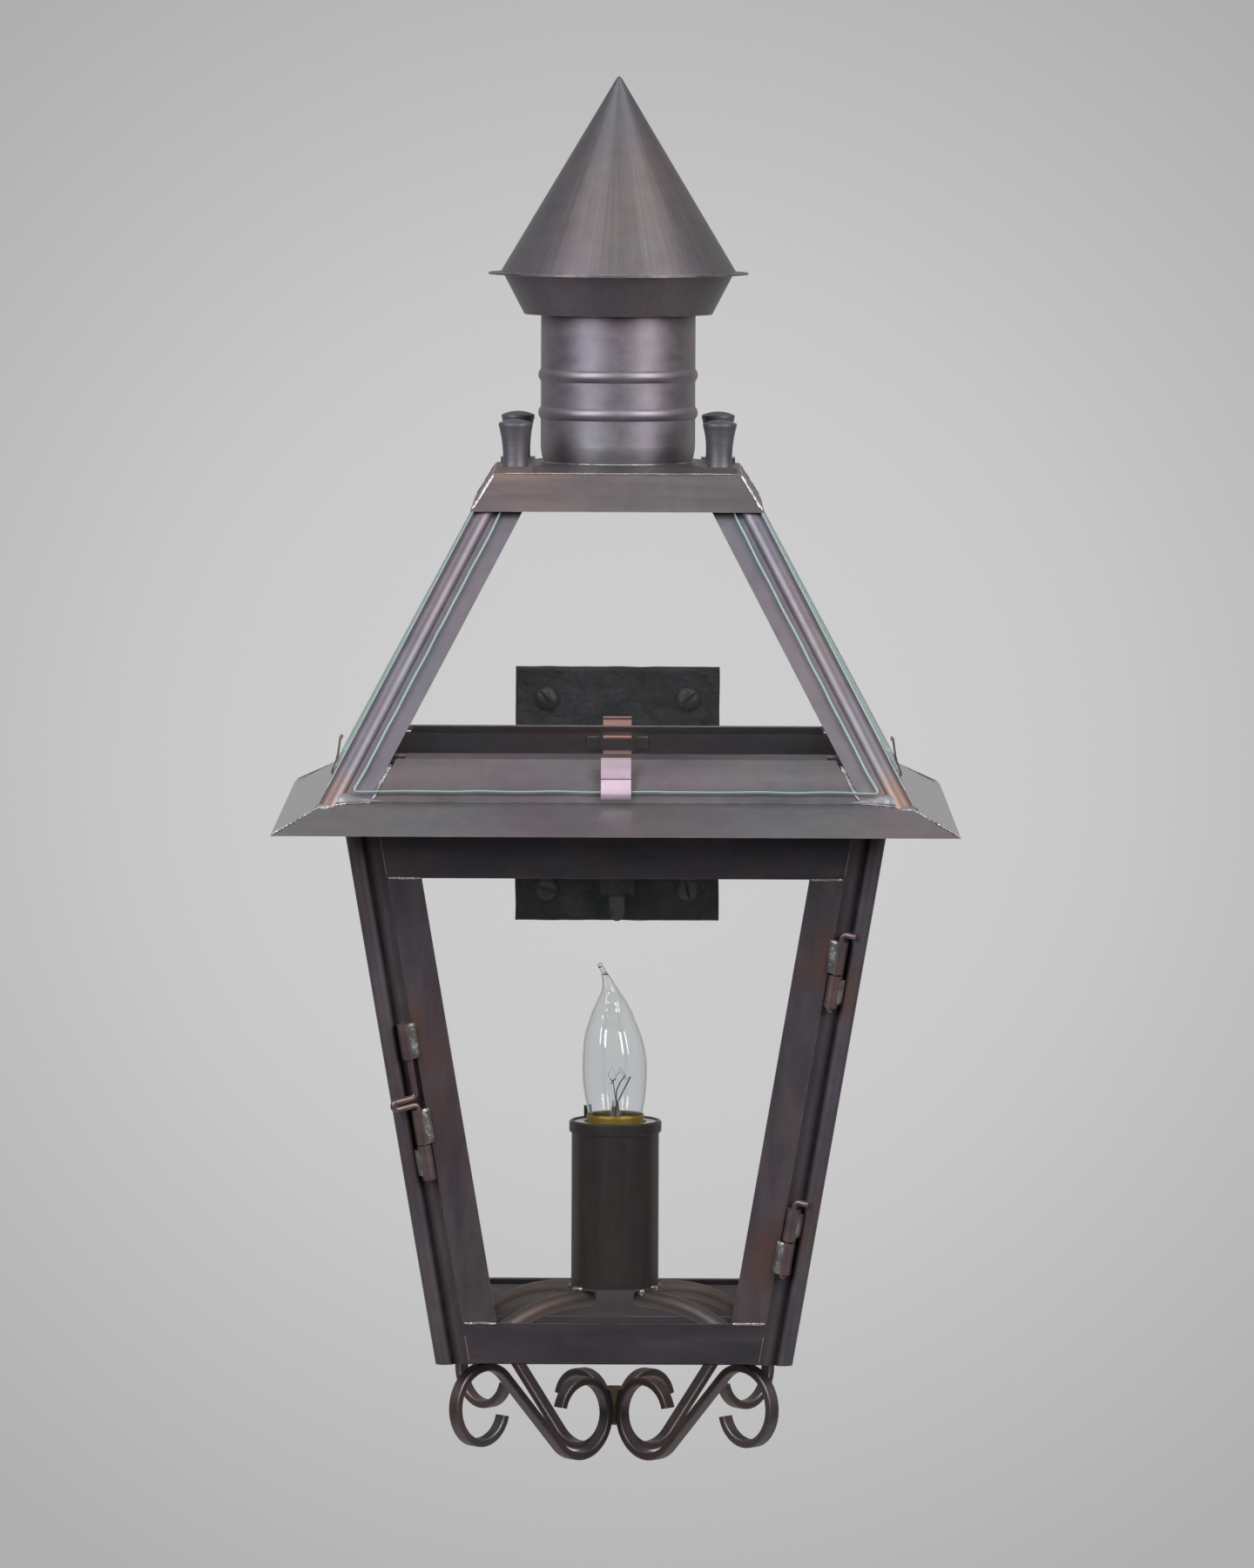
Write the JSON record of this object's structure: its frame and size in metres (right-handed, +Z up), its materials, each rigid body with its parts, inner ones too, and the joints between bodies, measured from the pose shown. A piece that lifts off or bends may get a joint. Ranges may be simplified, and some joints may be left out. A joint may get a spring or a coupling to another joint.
{
  "type": "wall lantern",
  "caption": "Square tapered copper wall lantern with glass sides and roof, chimney with cone cap, hinged door with sliding bolt, candle lamp and scrolls, on a wall plate.",
  "frame": {"origin": "centre of the wall plate's back face, on the wall", "axes": "+Z up, +Y into the wall, +X to the right seen from the room side; the lantern is on the -Y side"},
  "size_m": [0.3198, 0.3635, 0.6624],
  "materials": {
    "iron_black": "black, rough",
    "iron_screws": "black, satin",
    "copper_tabs": "bare copper, satin",
    "copper_clips": "bare copper, satin",
    "window_glass": "clear",
    "roof_glass": "clear",
    "copper_posts": "dark patina, satin",
    "copper_ribs": "dark patina, satin",
    "copper_body": "dark patina, satin",
    "copper_crown": "dark patina, satin",
    "copper_door": "dark patina, satin",
    "copper_hardware": "dark patina, satin",
    "copper_arms": "dark patina, satin",
    "braze": "rough braze",
    "cover_brown": "olive brown, satin",
    "ring_white": "white",
    "porcelain": "off-white porcelain",
    "lamp_brass": "plain",
    "cement": "yellow-brown",
    "bulb_glass": "clear",
    "bulb_wire": "plain"
  },
  "bodies": {
    "lantern": {"wall_plate": "iron_black", "wall_screws": "iron_screws", "wall_sleeve": "iron_black", "hanger_bar": "iron_black", "hanger_pad": "iron_black", "post_front_right": "copper_posts", "post_back_right": "copper_posts", "post_back_left": "copper_posts", "post_front_left": "copper_posts", "top_frame": "copper_body", "bottom_frame": "copper_body", "side_rails": "copper_body", "left_pane": "window_glass", "right_pane": "window_glass", "back_pane": "window_glass", "pane_tabs": "copper_tabs", "eave_skirt": "copper_body", "rib_front_right": "copper_ribs", "rib_back_right": "copper_ribs", "rib_back_left": "copper_ribs", "rib_front_left": "copper_ribs", "roof_top_rails": "copper_body", "roof_strips": "copper_body", "roof_pane_front": "roof_glass", "roof_pane_right": "roof_glass", "roof_pane_back": "roof_glass", "roof_pane_left": "roof_glass", "glass_clips": "copper_clips", "clip_bridges": "copper_body", "crown_box": "copper_crown", "knob_plates": "copper_crown", "corner_knobs": "copper_crown", "chimney": "copper_crown", "cap_straps": "copper_crown", "cap_skirt": "copper_crown", "cap_cone": "copper_crown", "post_knuckles": "copper_hardware", "hinge_pins": "copper_hardware", "latch_keeper": "copper_hardware", "support_arms": "copper_arms", "arm_plate": "copper_arms", "candle_cover": "cover_brown", "cover_ring": "ring_white", "lamp_socket": "porcelain", "socket_shell": "lamp_brass", "scrolls": "copper_arms", "scroll_braze": "braze"},
    "door": {"door_top_rail": "copper_door", "door_bottom_rail": "copper_door", "door_hinge_stile": "copper_door", "door_latch_stile": "copper_door", "door_glass": "window_glass", "door_tabs": "copper_tabs", "door_knuckles": "copper_hardware", "latch_guides": "copper_hardware"},
    "latch": {"latch_bolt": "copper_hardware"},
    "bulb": {"bulb_base": "lamp_brass", "bulb_collar": "cement", "bulb_glass": "bulb_glass", "bulb_stem": "bulb_wire"}
  },
  "joints": [
    {"name": "door_hinge", "type": "hinge", "parent": "lantern", "child": "door", "pos_m": [0.10319, -0.28964, -0.06088], "axis": [0.1599, -0.1599, 0.9741], "range_deg": [0, 110]},
    {"name": "latch_slide", "type": "slide", "parent": "door", "child": "latch", "axis": [-0.1599, -0.1599, 0.9741], "range_m": [0, 0.014]},
    {"name": "bulb_turn", "type": "hinge", "parent": "lantern", "child": "bulb", "pos_m": [0, -0.1736, -0.14], "axis": [0, 0, 1], "range_deg": [0, 1260]}
  ]
}
